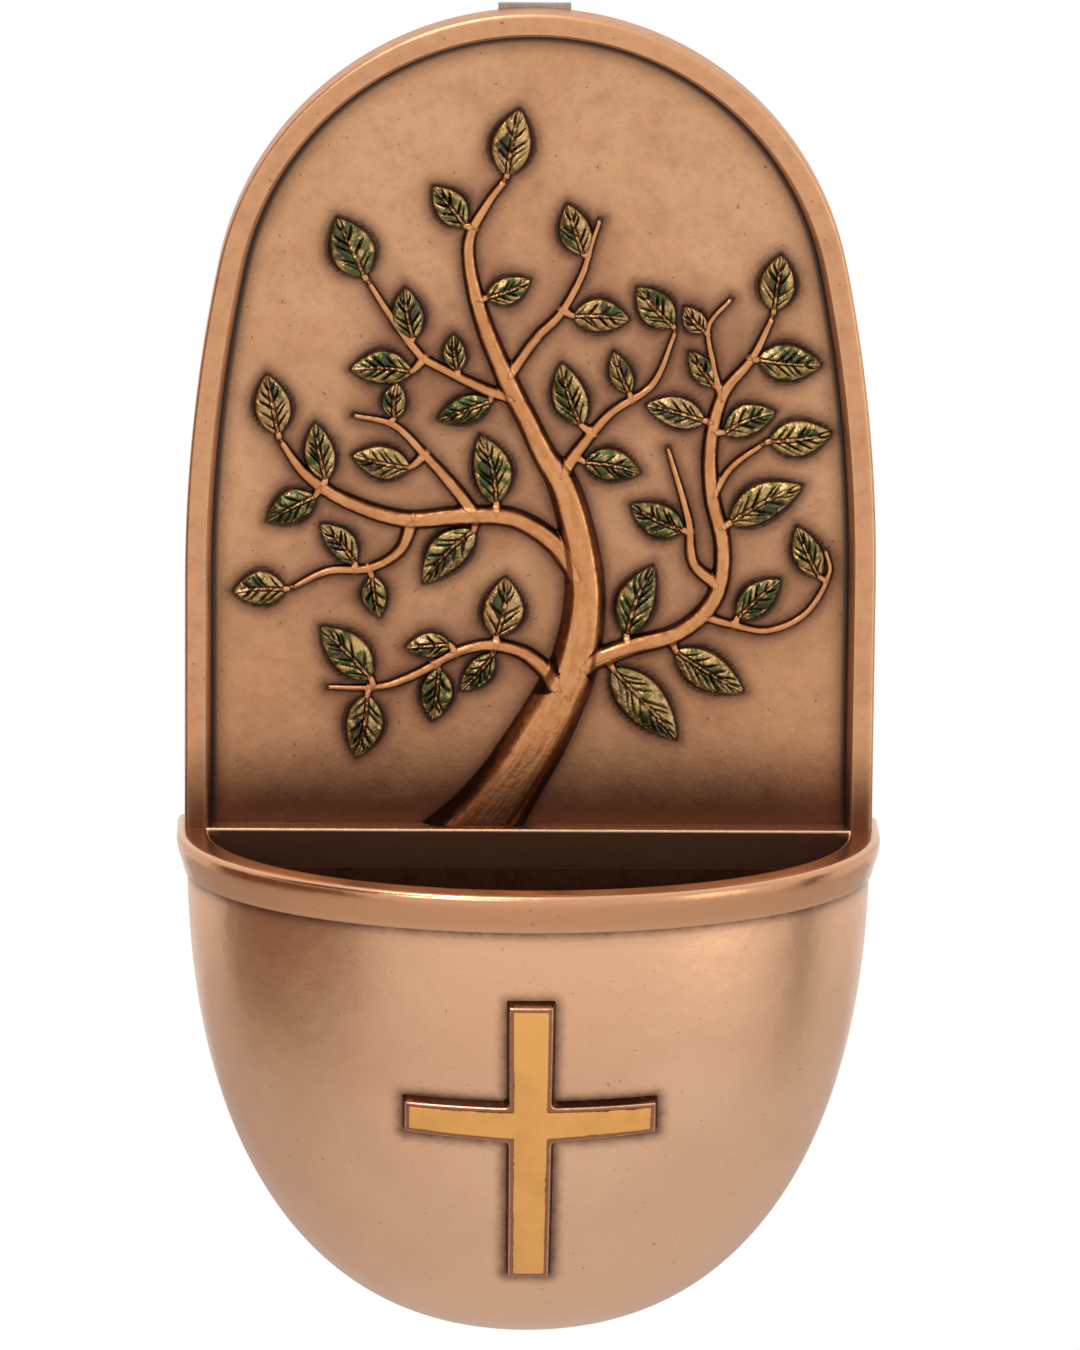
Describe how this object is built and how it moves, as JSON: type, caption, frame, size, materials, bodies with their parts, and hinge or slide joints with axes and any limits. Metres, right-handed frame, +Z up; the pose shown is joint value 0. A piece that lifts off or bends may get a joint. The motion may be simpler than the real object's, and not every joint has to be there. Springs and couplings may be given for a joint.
{
  "type": "holy water stoup",
  "caption": "Wall-hung holy water stoup: arched plate with a tree in relief, half bowl with a cross on its front, lift-out liner and a keyhole strap behind.",
  "frame": {"origin": "centre of the keyhole's entry at the wall plane", "axes": "+X to the right seen from the room, +Y into the wall, +Z up"},
  "size_m": [0.09, 0.0425, 0.1714],
  "materials": {
    "bronze": "satin brown patina",
    "tree_bronze": "brushed bright over a dark patina",
    "leaf_lacquer": "translucent green lacquer worn to gold on ridges",
    "liner_bronze": "dull dark bronze",
    "dark_bronze": "dark patina",
    "gilt": "matt gilding",
    "brass": "turned",
    "steel": "zinc plated"
  },
  "bodies": {
    "stoup": {"back_plate": "bronze", "tree": "tree_bronze", "leaves": "leaf_lacquer", "bowl": "bronze", "cross": "dark_bronze", "gilding": "gilt", "bowl_screw_left": "brass", "bowl_screw_right": "brass", "hanger": "steel", "strap_screw_upper_left": "brass", "strap_screw_upper_right": "brass", "strap_screw_lower_left": "brass", "strap_screw_lower_right": "brass"},
    "liner_cup": {"liner": "liner_bronze"}
  },
  "joints": [
    {"name": "liner_lift", "type": "slide", "parent": "stoup", "child": "liner_cup", "axis": [0, 0, 1], "range_m": [0, 0.05]}
  ]
}
